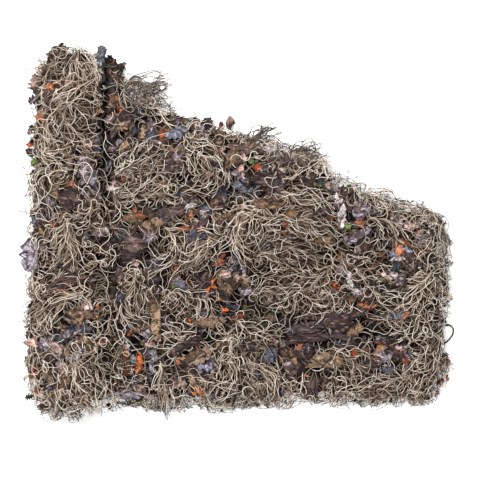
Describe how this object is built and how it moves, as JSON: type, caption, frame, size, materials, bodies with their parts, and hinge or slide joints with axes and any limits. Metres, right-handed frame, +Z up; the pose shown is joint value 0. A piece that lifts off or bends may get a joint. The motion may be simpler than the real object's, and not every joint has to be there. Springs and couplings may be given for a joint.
{
  "type": "camouflage net",
  "caption": "Folded camouflage net: knotted netting covered with yarn tufts and leaf-cut cloth, one corner turned under and the left side folded into a raised strip.",
  "frame": {"origin": "on the floor, under the middle of the folded net's box", "axes": "+Z up from the floor, towards the side that carries the garnish; +X across the longer side, away from the raised strip; +Y towards the turned-under corner's side"},
  "size_m": [0.6979, 0.6052, 0.0912],
  "materials": {
    "netting": "knotted dark green polyethylene twine, matt",
    "yarn": "thin synthetic yarn in beige, tan and olive, dry and slightly shiny",
    "cord": "braided dark green cord, matt",
    "cloth_bark": "printed polyester cloth, dark bark print",
    "cloth_tan": "printed polyester cloth, tan and brown",
    "cloth_rust": "printed polyester cloth, rust",
    "cloth_orange": "printed polyester cloth, bright orange",
    "cloth_salmon": "printed polyester cloth, salmon pink",
    "cloth_lilac": "printed polyester cloth, lilac grey",
    "cloth_grey": "printed polyester cloth, blue grey",
    "cloth_white": "printed polyester cloth, off white"
  },
  "bodies": {
    "root": {"net": "netting", "tufts_main": "yarn", "tufts_strip": "yarn", "edge_loop": "cord", "leaf_01": "cloth_bark", "leaf_02": "cloth_rust", "leaf_03": "cloth_salmon", "leaf_04": "cloth_lilac", "leaf_05": "cloth_bark", "leaf_06": "cloth_tan", "leaf_07": "cloth_lilac", "leaf_08": "cloth_bark", "leaf_09": "cloth_tan", "leaf_10": "cloth_bark", "leaf_11": "cloth_tan", "leaf_12": "cloth_grey", "leaf_13": "cloth_tan", "leaf_14": "cloth_bark", "leaf_15": "cloth_rust", "leaf_16": "cloth_tan", "leaf_17": "cloth_orange", "leaf_18": "cloth_tan", "leaf_19": "cloth_orange", "leaf_20": "cloth_tan", "leaf_21": "cloth_orange", "leaf_22": "cloth_bark", "leaf_23": "cloth_bark", "leaf_24": "cloth_tan", "leaf_25": "cloth_white", "leaf_26": "cloth_lilac", "leaf_27": "cloth_lilac", "leaf_28": "cloth_salmon", "leaf_29": "cloth_grey", "leaf_30": "cloth_orange", "leaf_31": "cloth_white", "leaf_32": "cloth_bark", "leaf_33": "cloth_grey", "leaf_34": "cloth_lilac", "leaf_35": "cloth_grey", "leaf_36": "cloth_bark", "leaf_37": "cloth_bark", "leaf_38": "cloth_tan", "strip_1": "cloth_lilac", "strip_2": "cloth_tan", "strip_3": "cloth_bark", "strip_4": "cloth_bark", "strip_5": "cloth_tan"}
  },
  "joints": []
}
